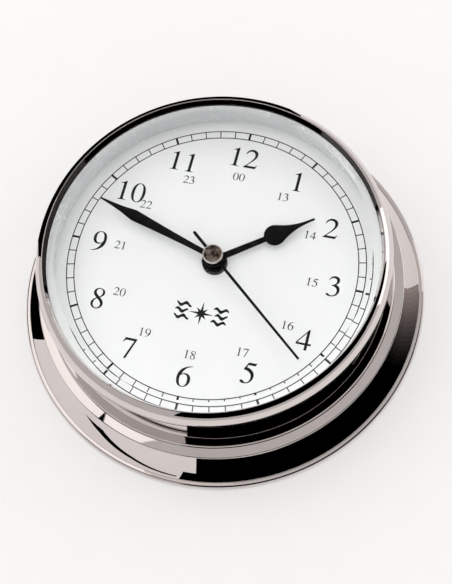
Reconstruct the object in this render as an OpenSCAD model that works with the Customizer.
// Ships deck clock, lying on its back: +Z out of the dial, +Y to twelve, +X to three.
// The origin is the centre of the back face. All sizes are millimetres.

/* [Case] */
// widest radius of the base flange
base_r = 70; // [69:0.1:72]
// height of the rounded lip at the foot of the flange
lip_h = 2; // [1.6:0.1:2.4]
// radius at the top edge of the sloping skirt
skirt_top_r = 62.9; // [62:0.1:64]
// height of the top edge of the skirt
skirt_top_z = 12.5; // [12:0.1:13.5]
// radius of the foot of the drum
drum_foot_r = 59.4; // [59:0.1:59.8]
// height of the drum's foot above the top edge of the skirt
ledge_rise = 0.9; // [0.6:0.1:1.2]
// radius of the drum where the bezel starts
drum_r = 58.3; // [58.1:0.1:58.6]
// height of the seam between drum and bezel
seam_z = 33; // [32:0.1:34]
// inner radius of the drum
bore_r = 56.2; // [56.1:0.05:56.3]

/* [Bezel and crystal] */
// radius of the domed outside of the bezel
bezel_round = 5.5; // [5.3:0.05:5.7]
// radius of the opening in the bezel
opening_r = 55.1; // [55:0.05:55.3]
// radius of the flat middle of the crystal
crystal_flat_r = 52.2; // [50:0.1:53]
// slope of the bevelled crystal edge, degrees
bevel_angle = 18; // [12:1:19]
// thickness of the crystal
crystal_t = 2.5; // [2.4:0.05:2.6]

/* [Dial] */
// height of the dial face
dial_z = 26; // [25.9:0.1:26]
// thickness of the dial plate
dial_t = 1; // [0.8:0.1:1]
// radius of the dial plate
dial_r = 56; // [55:0.1:56.1]

/* [Hands] */
// time shown, in minutes past twelve
time_min = 107.92; // [0:0.1:719]
// time shown, seconds past the minute
time_s = 21.6; // [0:0.2:59.8]
// length of the hour hand from the centre
hour_len = 36.2; // [34:0.1:38]
// length of the minute hand from the centre
minute_len = 45.2; // [42:0.1:47]
// length of the second hand from the centre
second_len = 46.2; // [42:0.1:48]
// radius of the round bulb of the hour hand
bulb_r = 3.65; // [3:0.05:4.2]
// distance of that bulb from the centre
bulb_at = 21.8; // [20:0.1:24]
// greatest half width of the minute hand
minute_half = 1.95; // [1.5:0.05:2.3]
// radius of the cap on the second hand
cap_r = 3.35; // [2.8:0.05:3.8]

/* [Fixing to the bulkhead] */
// radius of the circle of screw holes
screw_circle_r = 36; // [32:0.5:38]
// radius of each screw hole
screw_hole_r = 2.2; // [1.6:0.1:2.6]
// angle the case turns to come off its studs
twist = 18; // [14:1:20]

/* [Gears] */
// module of the third wheel and seconds pinion
m_third = 0.26; // [0.25:0.005:0.265]
// module of the seconds wheel and intermediate pinion
m_seconds = 0.3; // [0.295:0.005:0.305]
// module of the intermediate wheel and rotor pinion
m_rotor = 0.2; // [0.19:0.005:0.21]
// module of the minute work
m_motion = 0.34; // [0.335:0.005:0.345]

/* [Hidden] */
$fn = 96;
eps = 0.01;
slip = 0.05;

// case profile
lip_round = lip_h / 2;
foot_z = skirt_top_z + ledge_rise;
shell = 1.3;
seat_r = 51.5;
seat_t = 1.8;
neck_r = 57.05;
neck_top = seam_z + 4;
post_circle_r = 60.5;
post_r = 2.6;
post_top = 12;

// bezel and crystal
crystal_r = 55.9;
crystal_z = 35.65;
crystal_top = crystal_z + crystal_t;
bevel_drop = (crystal_r - crystal_flat_r) * tan(bevel_angle);
bezel_out = 58.97;
crown_r = bezel_out - bezel_round;
crown_z = 34.35;
ridge = 63.5;
ridge_at = [crown_r + bezel_round * cos(ridge), crown_z + bezel_round * sin(ridge)];
bezel_gap = 0.2;
bezel_bore = neck_r + slip;
lip_under = 37.25;
gasket_t = 0.5;
reflector_r = 54.4;
reflector_top_r = 54.8;

// twist-off fixing
plate_t = 1.6;
plate_r = 58;
plate_hole_r = 22;
ring_z = 2.8;
ring_t = 1.6;
ring_in = 44;
ring_out = 64;
stud_circle_r = 52;
stud_r = 2;
stud_head_r = 3.5;
stud_head_z = 4.8;
stud_top = 6.2;
slot_half = 2.3;
key_hole_r = 3.9;
ring_screw_r = 1.3;
ring_screw_head_r = 2.4;
fixings = 3;

// movement shell
mov_x = 30;
mov_y = 28;
mov_wall = 1.4;
mov_corner = 4;
cover_z = 8;
cover_t = 1;
mov_z = cover_z + cover_t;
mov_top = 24.2;
mov_roof = 1.2;
bay_y = -11.6;
bay_wall = 1.2;
cover_post_x = 26;
cover_post_y = [24.2, -8];
cover_post_r = 1.9;
cover_screw_r = 0.85;
cover_head_r = 1.6;
boss_h = 0.8;
boss_r = 1.5;
arbor_z = cover_z + 1.2;
arbor_r = 0.4;
rotor_arbor_r = 0.35;

// nested tubes at the centre
sec_arbor_r = 0.5;
cannon_in = sec_arbor_r + 0.1;
cannon_r = 1.35;
hour_in = cannon_r + 0.08;
hour_tube_r = 2.2;
neck_in = hour_tube_r + 0.1;
neck_out = 3.6;
neck_end = 28;
nut_r = 4.25;
nut_top = 28.2;

// tooth counts
seconds_teeth = 60;
seconds_pinion = 10;
third_teeth = 75;
third_pinion = 10;
centre_teeth = 80;
inter_teeth = 60;
inter_pinion = 10;
rotor_pinion_teeth = 12;
cannon_teeth = 12;
work_teeth = 36;
work_pinion = 10;
hour_teeth = 40;
setter_teeth = 12;

// distances between arbors and the modules that share them
third_dist = m_third * (third_teeth + seconds_pinion) / 2;
m_centre = 2 * third_dist / (centre_teeth + third_pinion);
inter_dist = m_seconds * (seconds_teeth + inter_pinion) / 2;
rotor_dist = m_rotor * (inter_teeth + rotor_pinion_teeth) / 2;
work_dist = m_motion * (work_teeth + cannon_teeth) / 2;
m_hour = 2 * work_dist / (hour_teeth + work_pinion);
setter_dist = m_motion * (work_teeth + setter_teeth) / 2;

// directions from one arbor to the next
third_dir = 150;
inter_dir = 60;
rotor_dir = 100;
work_dir = -20;
setter_dir = 30;
third_at = polar(third_dist, third_dir);
inter_at = polar(inter_dist, inter_dir);
rotor_at = inter_at + polar(rotor_dist, rotor_dir);
work_at = polar(work_dist, work_dir);
setter_at = work_at + polar(setter_dist, setter_dir);

// heights of the wheels
wheel_t = 0.7;
seconds_z = 10.3;
inter_pinion_z = [10, 11.4];
inter_z = 11.7;
rotor_pinion_z = [11.4, 12.8];
seconds_pinion_z = [11, 14.4];
third_z = 13.2;
third_pinion_z = [13.9, 16.4];
centre_z = 15.5;
magnet_z = [13.4, 15.6];
magnet_r = 2.1;
bridge_z = 17.2;
bridge_t = 1;
cannon_z = 14.9;
cannon_pinion_z = [18.7, 20.1];
work_z = 19.1;
work_pinion_z = [19.8, 21.9];
hour_z = 20.8;
setter_pinion_z = [18.6, 20.3];
work_post_r = 0.6;
work_arbor_top = 22.7;

// motor and electronics
stator_z = 14.1;
stator_t = 0.8;
stator_gap_r = 2.5;
coil_y = 22.6;
coil_r = 3.2;
coil_half = 9;
leg_w = 4;
board_z = 12;
board_t = 1;

// cell
cell_r = 7.1;
cell_y = -19.4;
cell_z = 15.6;
cell_x = [-25, 24];
nub_r = 2.75;
nub_h = 1.4;
contact_t = 0.35;

// hand heights
hand_t = 0.5;
hour_hand_z = 28.7;
minute_hand_z = 30.8;
second_hand_z = 32.7;
second_hand_t = 0.35;
cap_z = second_hand_z + second_hand_t;
cap_top = 34.2;
hour_tube_top = 29.4;
cannon_top = 31.5;
tail_len = 10.9;
bulb_shoulder = 9;
tip_half = 0.3;

// setting knob
setter_r = 1;
knob_r = 4.5;
knob_z = [4.9, 7.4];
knob_flutes = 16;

// tooth shape
addendum = 0.6;
dedendum = 0.95;
pressure = 20;
tooth_share = 0.86;

// ---- helpers ----

function polar(r, a) = [r * cos(a), r * sin(a)];

// involute function, in degrees
function inv(a) = tan(a) * 180 / PI - a;

// half angle of a tooth at radius r
function tooth_half(r, teeth, base) = 90 / teeth * tooth_share + inv(pressure)
    - inv(acos(min(1, base / r)));

// rotation of a wheel so that its teeth fall in the gaps of the one before it
function phase(dir, before, before_phase, teeth) =
    dir + 180 - (180 - before * (dir - before_phase)) / teeth;

// direction of a hand, from its place in the full turn
function clock(share) = -360 * share;

module disc(r, z0, z1) {
    translate([0, 0, z0])
        cylinder(r = r, h = z1 - z0);
}

module tube(r_out, r_in, z0, z1) {
    difference() {
        disc(r_out, z0, z1);
        disc(r_in, z0 - eps, z1 + eps);
    }
}

module round_box(x0, x1, y0, y1, r, z0, z1) {
    translate([0, 0, z0])
        linear_extrude(z1 - z0)
            union() {
                translate([x0 + r, y0])
                    square([x1 - x0 - 2 * r, y1 - y0]);
                translate([x0, y0 + r])
                    square([x1 - x0, y1 - y0 - 2 * r]);
                for (x = [x0 + r, x1 - r], y = [y0 + r, y1 - r])
                    translate([x, y])
                        circle(r = r);
            }
}

module box(x0, x1, y0, y1, z0, z1) {
    translate([x0, y0, z0])
        cube([x1 - x0, y1 - y0, z1 - z0]);
}

module at(place) {
    translate([place[0], place[1], 0])
        children();
}

module around(count, r, start = 90) {
    for (i = [0 : count - 1])
        rotate(start + i * 360 / count)
            translate([r, 0, 0])
                children();
}

// toothed disc with straight-sided pieces of an involute flank
module gear(teeth, m, z0, z1, turn = 0) {
    pitch_r = teeth * m / 2;
    base = pitch_r * cos(pressure);
    tip = pitch_r + addendum * m;
    root = pitch_r - dedendum * m;
    radii = [root, max(base, root) + 0.1 * m, pitch_r, tip];
    flank = [for (r = radii) [r, tooth_half(r, teeth, base)]];
    last = len(flank) - 1;
    translate([0, 0, z0])
        rotate(turn)
            linear_extrude(z1 - z0)
                polygon([for (i = [0 : teeth - 1]) each concat(
                    [for (k = [0 : last]) polar(flank[k][0], i * 360 / teeth - flank[k][1])],
                    [for (k = [last : -1 : 0]) polar(flank[k][0], i * 360 / teeth + flank[k][1])])]);
}

// five round windows that lighten a wheel
module windows(r, hole, z0, z1) {
    around(5, r)
        disc(hole, z0 - eps, z1 + eps);
}

// ---- fixing to the bulkhead ----

module mounting_plate() {
    color("#b8923e")
        difference() {
            tube(plate_r, plate_hole_r, 0, plate_t);
            around(fixings, screw_circle_r)
                disc(screw_hole_r, -eps, plate_t + eps);
            around(fixings, stud_circle_r, -30)
                disc(stud_r, -eps, plate_t + eps);
        }
}

module mounting_studs() {
    color("#c7a254")
        around(fixings, stud_circle_r, -30) {
            disc(stud_r, 0, stud_head_z);
            disc(stud_head_r, stud_head_z, stud_top);
        }
}

module bayonet_slot() {
    start = -30;
    for (i = [0 : fixings - 1])
        rotate(start + i * 360 / fixings) {
            rotate(-twist)
                translate([0, 0, ring_z - eps])
                    rotate_extrude(angle = twist)
                        translate([stud_circle_r - slot_half, 0])
                            square([2 * slot_half, ring_t + 2 * eps]);
            translate([stud_circle_r, 0, 0])
                disc(slot_half, ring_z - eps, ring_z + ring_t + eps);
            rotate(-twist)
                translate([stud_circle_r, 0, 0])
                    disc(key_hole_r, ring_z - eps, ring_z + ring_t + eps);
        }
}

module bayonet_ring() {
    color("#b08b3a")
        difference() {
            tube(ring_out, ring_in, ring_z, ring_z + ring_t);
            bayonet_slot();
            around(fixings, post_circle_r)
                disc(ring_screw_r, ring_z - eps, ring_z + ring_t + eps);
        }
}

module bayonet_ring_screws() {
    color("#c9c9c4")
        around(fixings, post_circle_r)
            difference() {
                union() {
                    disc(ring_screw_r - slip, ring_z - eps, ring_z + ring_t + 5);
                    disc(ring_screw_head_r, ring_z - 1, ring_z);
                }
                translate([0, 0, ring_z - 1])
                    cube([2 * ring_screw_head_r - 1, 0.6, 1], center = true);
            }
}

// ---- case, bezel and crystal ----

module case_outline() {
    translate([base_r - lip_round, lip_round])
        circle(r = lip_round);
    square([base_r - lip_round, lip_h]);
    polygon([[0, 0], [base_r - 1.6, 0], [base_r - 1.6, lip_h + 0.4], [skirt_top_r, skirt_top_z],
        [drum_foot_r, foot_z], [drum_r, seam_z], [0, seam_z]]);
    square([neck_r, neck_top]);
}

module case_hollow() {
    polygon([[0, -1], [base_r - 2.4, -1], [base_r - 2.4, 1], [base_r - 3.1, lip_h],
        [skirt_top_r - shell, skirt_top_z - shell + 0.1],
        [bore_r + 1.2, skirt_top_z - shell + 0.1], [bore_r, foot_z],
        [bore_r, dial_z - dial_t - seat_t], [seat_r, dial_z - dial_t - seat_t],
        [seat_r, dial_z - dial_t], [bore_r, dial_z - dial_t], [bore_r, neck_top + 1],
        [0, neck_top + 1]]);
}

module case_shell() {
    color("#d9d7d6")
        difference() {
            union() {
                rotate_extrude()
                    difference() {
                        case_outline();
                        case_hollow();
                    }
                around(fixings, post_circle_r)
                    disc(post_r, ring_z + ring_t, post_top);
            }
            around(fixings, post_circle_r)
                disc(ring_screw_r, ring_z + ring_t - eps, post_top - 1.5);
        }
}

module bezel() {
    color("#dcdad9")
        rotate_extrude()
            difference() {
                translate([crown_r, crown_z])
                    circle(r = bezel_round);
                square([bezel_out, seam_z + bezel_gap]);
                square([bezel_bore, lip_under]);
                polygon([[0, lip_under - eps], [opening_r, lip_under - eps], ridge_at,
                    [ridge_at[0], crystal_top + 5], [0, crystal_top + 5]]);
            }
}

module crystal() {
    color("#e8f4f6", 0.3)
        rotate_extrude()
            polygon([[0, crystal_z], [crystal_r, crystal_z], [crystal_r, crystal_top - bevel_drop],
                [crystal_flat_r, crystal_top], [0, crystal_top]]);
}

module crystal_gasket() {
    color("#1c1c1c")
        union() {
            tube(dial_r, reflector_top_r + 0.1, crystal_z - gasket_t, crystal_z);
            tube(bore_r - slip, crystal_r + slip, crystal_z - gasket_t, crystal_top - bevel_drop);
        }
}

module reflector_ring() {
    color("#f2f3f4")
        rotate_extrude()
            polygon([[reflector_r, dial_z], [dial_r, dial_z], [dial_r, crystal_z - gasket_t],
                [reflector_top_r, crystal_z - gasket_t]]);
}

module dial() {
    color("#f3f3f2")
        tube(dial_r, neck_out + 0.15, dial_z - dial_t, dial_z);
}

module dial_pad() {
    color("#242424")
        tube(12, neck_out + 0.15, mov_top, dial_z - dial_t);
}

module centre_nut() {
    color("#101010")
        difference() {
            tube(nut_r, neck_out, dial_z, nut_top);
            around(16, nut_r)
                disc(0.35, dial_z + 0.5, nut_top + eps);
        }
}

// ---- movement shell ----

module movement_case() {
    roof = mov_top - mov_roof;
    color("#2a2b2d")
        difference() {
            union() {
                difference() {
                    round_box(-mov_x, mov_x, -mov_y, mov_y, mov_corner, mov_z, mov_top);
                    round_box(-mov_x + mov_wall, mov_x - mov_wall, bay_y + bay_wall, mov_y - mov_wall,
                        mov_corner - mov_wall, mov_z - eps, roof);
                    round_box(-mov_x + mov_wall, mov_x - mov_wall, -mov_y + mov_wall, bay_y,
                        1, mov_z - eps, roof);
                }
                for (x = [-cover_post_x, cover_post_x], y = cover_post_y)
                    at([x, y])
                        disc(cover_post_r, mov_z, roof + eps);
                disc(neck_out, mov_top - eps, neck_end);
                at(work_at)
                    disc(1.6, work_pinion_z[1] + 0.15, roof + eps);
            }
            for (x = [-cover_post_x, cover_post_x], y = cover_post_y)
                at([x, y])
                    disc(cover_screw_r + slip, mov_z - eps, mov_z + 5.2);
            disc(neck_in, roof - eps, neck_end + eps);
            at(work_at)
                disc(work_post_r + slip, work_pinion_z[1] + 0.1, work_arbor_top + slip);
        }
}

// places in the cover that hold the lower end of an arbor
module lower_bearing(r) {
    difference() {
        disc(boss_r, mov_z - eps, mov_z + boss_h);
        disc(r + slip, arbor_z - slip, mov_z + boss_h + eps);
    }
}

module movement_cover() {
    color("#34363a")
        difference() {
            union() {
                round_box(-mov_x, mov_x, bay_y, mov_y, mov_corner, cover_z, mov_z);
                lower_bearing(sec_arbor_r);
                at(third_at)
                    lower_bearing(arbor_r);
                at(inter_at)
                    lower_bearing(arbor_r);
                at(rotor_at)
                    lower_bearing(rotor_arbor_r);
                at(setter_at)
                    disc(2.2, mov_z - eps, mov_z + boss_h);
            }
            for (x = [-cover_post_x, cover_post_x], y = cover_post_y)
                at([x, y])
                    disc(cover_screw_r + slip, cover_z - eps, mov_z + eps);
            at(setter_at)
                disc(setter_r + slip, cover_z - eps, mov_z + boss_h + eps);
        }
}

module movement_screws() {
    color("#c9c9c4")
        for (x = [-cover_post_x, cover_post_x], y = cover_post_y)
            at([x, y])
                difference() {
                    union() {
                        disc(cover_screw_r, cover_z - eps, mov_z + 5);
                        disc(cover_head_r, cover_z - 1, cover_z);
                    }
                    translate([0, 0, cover_z - 1])
                        cube([2 * cover_head_r - 1, 0.5, 0.9], center = true);
                    translate([0, 0, cover_z - 1])
                        cube([0.5, 2 * cover_head_r - 1, 0.9], center = true);
                }
}

// plate across the movement: the train turns below it and the minute work above
module bridge_plate() {
    top = bridge_z + bridge_t;
    color("#c8c4ba")
        difference() {
            union() {
                round_box(-18.5, 20, bay_y + bay_wall + 0.6, 18.6, 3, bridge_z, top);
                for (x = [-15.5, 17.5], y = [-7, 15.4])
                    at([x, y])
                        disc(1.8, top - eps, mov_top - mov_roof);
                at(work_at)
                    disc(1.3, top - eps, top + 0.6);
            }
            disc(cannon_r + slip, bridge_z - eps, top + eps);
            at(third_at)
                disc(arbor_r + slip, bridge_z - eps, top + eps);
            at(inter_at)
                disc(arbor_r + slip, bridge_z - eps, top + eps);
            at(rotor_at)
                disc(rotor_arbor_r + slip, bridge_z - eps, top + eps);
            at(work_at)
                disc(work_post_r + slip, bridge_z + 0.3, top + 1);
            at(setter_at)
                disc(setter_r + slip, bridge_z - eps, top + eps);
        }
}

// ---- motor and electronics ----

module circuit_board() {
    color("#2f6b45")
        difference() {
            box(-27.4, -20.6, -4.5, 20.5, board_z, board_z + board_t);
            for (y = [-2.5, 18.5])
                at([-24, y])
                    disc(0.9, board_z - eps, board_z + board_t + eps);
        }
}

module timing_chip() {
    color("#151515")
        at([-24, 3])
            disc(2.4, board_z + board_t, board_z + board_t + 1.1);
}

module quartz_can() {
    color("#c4c6c8")
        translate([-24, 8, board_z + board_t + 1.5])
            rotate([-90, 0, 0])
                cylinder(r = 1.5, h = 8);
}

module coil() {
    color("#b5642e")
        translate([rotor_at[0] - coil_half, coil_y, stator_z + stator_t / 2])
            rotate([0, 90, 0])
                difference() {
                    union() {
                        cylinder(r = coil_r, h = 2 * coil_half);
                        for (x = [0, 2 * coil_half - 0.8])
                            translate([0, 0, x])
                                cylinder(r = coil_r + 0.5, h = 0.8);
                    }
                    translate([-stator_t / 2 - slip, -1 - slip, -eps])
                        cube([stator_t + 2 * slip, 2 + 2 * slip, 2 * coil_half + 2 * eps]);
                }
}

module coil_core() {
    color("#8f9194")
        box(rotor_at[0] - coil_half - leg_w, rotor_at[0] + coil_half + leg_w,
            coil_y - 1, coil_y + 1, stator_z, stator_z + stator_t);
}

module stator() {
    near = coil_half + 0.4;
    far = coil_half + leg_w;
    x = rotor_at[0];
    y0 = rotor_at[1] - 3.6;
    color("#9da0a3")
        difference() {
            union() {
                box(x - far, x + far, y0, rotor_at[1] + 2.6, stator_z, stator_z + stator_t);
                for (side = [x - far, x + near])
                    box(side, side + far - near, y0, coil_y - 1.05, stator_z, stator_z + stator_t);
            }
            at(rotor_at)
                disc(stator_gap_r, stator_z - eps, stator_z + stator_t + eps);
        }
}

module battery() {
    color("#b58b3c")
        translate([0, cell_y, cell_z])
            rotate([0, 90, 0])
                union() {
                    translate([0, 0, cell_x[0]])
                        cylinder(r = cell_r, h = cell_x[1] - cell_x[0]);
                    translate([0, 0, cell_x[1] - eps])
                        cylinder(r = nub_r, h = nub_h);
                }
}

// bent strips, drawn from above, that touch the two ends of the cell
module contact(points) {
    translate([0, 0, cell_z - 3])
        linear_extrude(6)
            polygon(points);
}

module positive_contact() {
    x = cell_x[1] + nub_h;
    edge = mov_x - mov_wall - slip;
    color("#cfd1d3")
        contact([[x, cell_y - 3], [x + contact_t, cell_y - 3], [x + contact_t, cell_y + 3],
            [edge, cell_y + 5.4], [edge, cell_y + 6.4], [edge - contact_t, cell_y + 6.4],
            [edge - contact_t, cell_y + 5.6], [x, cell_y + 3.2]]);
}

module negative_contact() {
    x = cell_x[0];
    edge = -mov_x + mov_wall + slip;
    color("#cfd1d3")
        contact([[x, cell_y], [x - contact_t, cell_y + 0.4], [edge + contact_t, cell_y - 5],
            [edge + contact_t, cell_y - 6.4], [edge, cell_y - 6.4], [edge, cell_y + 6.4],
            [edge + contact_t, cell_y + 6.4], [edge + contact_t, cell_y + 5]]);
}

// ---- going train ----

module rotor_magnet() {
    color("#55585c")
        at(rotor_at)
            tube(magnet_r, rotor_arbor_r, magnet_z[0], magnet_z[1]);
}

module rotor_pinion() {
    seconds_to_inter = phase(inter_dir, seconds_teeth, 0, inter_pinion);
    color("#e6e2d2")
        at(rotor_at) {
            disc(rotor_arbor_r, arbor_z, bridge_z + bridge_t - 0.2);
            gear(rotor_pinion_teeth, m_rotor, rotor_pinion_z[0], rotor_pinion_z[1],
                phase(rotor_dir, inter_teeth, seconds_to_inter, rotor_pinion_teeth));
        }
}

module intermediate_wheel() {
    turn = phase(inter_dir, seconds_teeth, 0, inter_pinion);
    color("#e9e6dc")
        at(inter_at) {
            disc(arbor_r, arbor_z, bridge_z + bridge_t - 0.2);
            gear(inter_pinion, m_seconds, inter_pinion_z[0], inter_pinion_z[1], turn);
            difference() {
                gear(inter_teeth, m_rotor, inter_z, inter_z + wheel_t, turn);
                windows(3.6, 1.2, inter_z, inter_z + wheel_t);
            }
            disc(1.2, inter_pinion_z[1] - eps, inter_z + eps);
        }
}

module seconds_wheel() {
    color("#e9e6dc") {
        disc(sec_arbor_r, arbor_z, cap_z);
        gear(seconds_pinion, m_third, seconds_pinion_z[0], seconds_pinion_z[1]);
        difference() {
            gear(seconds_teeth, m_seconds, seconds_z, seconds_z + wheel_t);
            windows(5.2, 1.9, seconds_z, seconds_z + wheel_t);
        }
    }
}

module third_wheel() {
    turn = phase(third_dir, seconds_pinion, 0, third_teeth);
    color("#e9e6dc")
        at(third_at) {
            disc(arbor_r, arbor_z, bridge_z + bridge_t - 0.2);
            gear(third_pinion, m_centre, third_pinion_z[0] - eps, third_pinion_z[1], turn);
            difference() {
                gear(third_teeth, m_third, third_z, third_z + wheel_t, turn);
                windows(5.6, 2.1, third_z, third_z + wheel_t);
            }
        }
}

module centre_wheel() {
    third_turn = phase(third_dir, seconds_pinion, 0, third_teeth);
    color("#e9e6dc")
        difference() {
            gear(centre_teeth, m_centre, centre_z, centre_z + wheel_t,
                phase(third_dir + 180, third_pinion, third_turn, centre_teeth));
            disc(cannon_r + slip, centre_z - eps, centre_z + wheel_t + eps);
            windows(6.2, 1.9, centre_z, centre_z + wheel_t);
        }
}

// ---- minute work ----

module cannon_pinion() {
    color("#d6b25e")
        difference() {
            union() {
                disc(cannon_r, cannon_z, cannon_top);
                gear(cannon_teeth, m_motion, cannon_pinion_z[0], cannon_pinion_z[1]);
            }
            disc(cannon_in, cannon_z - eps, cannon_top + eps);
        }
}

module friction_spring() {
    z = centre_z + wheel_t + 0.12;
    color("#b9bcc0")
        difference() {
            union() {
                disc(2.3, z, z + 0.3);
                for (a = [0, 120, 240])
                    rotate(a)
                        box(0, 4.6, -0.7, 0.7, z, z + 0.3);
            }
            disc(cannon_r, z - eps, z + 0.3 + eps);
        }
}

module minute_work_wheel() {
    turn = phase(work_dir, cannon_teeth, 0, work_teeth);
    color("#e9e6dc")
        at(work_at) {
            disc(work_post_r, bridge_z + 0.4, work_arbor_top);
            gear(work_teeth, m_motion, work_z, work_z + wheel_t, turn);
            gear(work_pinion, m_hour, work_pinion_z[0] - eps, work_pinion_z[1], turn);
        }
}

module hour_wheel() {
    turn = phase(work_dir, cannon_teeth, 0, work_teeth);
    color("#e9e6dc")
        difference() {
            union() {
                disc(hour_tube_r, hour_z, hour_tube_top);
                gear(hour_teeth, m_hour, hour_z, hour_z + wheel_t,
                    phase(work_dir + 180, work_pinion, turn, hour_teeth));
            }
            disc(hour_in, hour_z - eps, hour_tube_top + eps);
        }
}

module setting_shaft() {
    work_turn = phase(work_dir, cannon_teeth, 0, work_teeth);
    color("#e9e6dc")
        at(setter_at) {
            disc(setter_r, knob_z[0] + 0.5, setter_pinion_z[0] + eps);
            gear(setter_teeth, m_motion, setter_pinion_z[0], setter_pinion_z[1],
                phase(setter_dir, work_teeth, work_turn, setter_teeth));
        }
}

module setting_knob() {
    color("#3a3c40")
        at(setter_at)
            difference() {
                disc(knob_r, knob_z[0], knob_z[1]);
                disc(setter_r, knob_z[0] + 0.5, knob_z[1] + eps);
                around(knob_flutes, knob_r + 0.3)
                    disc(0.6, knob_z[0] - eps, knob_z[1] + eps);
            }
}

// ---- hands ----

// half width of the hour hand beyond its bulb, easing from the bulb to a fine tip
function spade_half(s) = tip_half + (bulb_r * 0.86 - tip_half) * pow(1 - s, 2.5);

module hour_hand() {
    start = bulb_at + bulb_r * 0.51;
    side = [for (i = [0 : bulb_shoulder]) let (s = i / bulb_shoulder)
        [start + (hour_len - start) * s, spade_half(s)]];
    color("#0d0d0d")
        rotate(90 + clock(time_min / 720))
            translate([0, 0, hour_hand_z])
                linear_extrude(hand_t)
                    difference() {
                        union() {
                            circle(r = 3.9);
                            polygon([[0, -1.15], [bulb_at, -0.85], [bulb_at, 0.85], [0, 1.15]]);
                            translate([bulb_at, 0])
                                circle(r = bulb_r);
                            polygon(concat([[bulb_at, 0]], [for (p = side) [p[0], -p[1]]],
                                [for (i = [bulb_shoulder : -1 : 0]) side[i]]));
                        }
                        circle(r = hour_tube_r);
                    }
}

module minute_hand() {
    side = [[0, 0.85], [8, 0.95], [16, 1.2], [26, 1.65], [30, minute_half - 0.08],
        [31.6, minute_half], [33, minute_half - 0.25], [36.5, 1.05], [40.5, 0.6],
        [minute_len, 0.2]];
    color("#0d0d0d")
        rotate(90 + clock(time_min / 60))
            translate([0, 0, minute_hand_z])
                linear_extrude(hand_t)
                    difference() {
                        union() {
                            circle(r = 3.4);
                            polygon(concat([for (p = side) [p[0], -p[1]]],
                                [for (i = [len(side) - 1 : -1 : 0]) side[i]]));
                        }
                        circle(r = cannon_r);
                    }
}

module second_hand() {
    color("#0d0d0d")
        rotate(90 + clock(time_s / 60))
            difference() {
                union() {
                    translate([0, 0, second_hand_z])
                        linear_extrude(second_hand_t)
                            union() {
                                polygon([[-tail_len + 0.5, -0.5], [0, -0.5], [second_len, -0.35],
                                    [second_len, 0.35], [0, 0.5], [-tail_len + 0.5, 0.5]]);
                                translate([-tail_len + 0.5, 0])
                                    circle(r = 0.5);
                                circle(r = 1.5);
                            }
                    disc(1.2, second_hand_z - 0.9, second_hand_z + eps);
                }
                disc(sec_arbor_r, second_hand_z - 1, second_hand_z + 1);
            }
}

module second_hand_cap() {
    edge = 0.3;
    color("#8d8580")
        rotate_extrude()
            polygon([[0, cap_z], [cap_r, cap_z], [cap_r, cap_top - edge],
                [cap_r - edge, cap_top], [cap_r - 0.55, cap_top - 0.12], [0, cap_top - 0.12]]);
}

mounting_plate();
mounting_studs();
bayonet_ring();
bayonet_ring_screws();
case_shell();
bezel();
crystal();
crystal_gasket();
reflector_ring();
dial();
dial_pad();
centre_nut();
movement_case();
movement_cover();
movement_screws();
bridge_plate();
circuit_board();
timing_chip();
quartz_can();
coil();
coil_core();
stator();
battery();
positive_contact();
negative_contact();
rotor_magnet();
rotor_pinion();
intermediate_wheel();
seconds_wheel();
second_hand();
second_hand_cap();
third_wheel();
centre_wheel();
cannon_pinion();
friction_spring();
minute_hand();
minute_work_wheel();
hour_wheel();
hour_hand();
setting_shaft();
setting_knob();
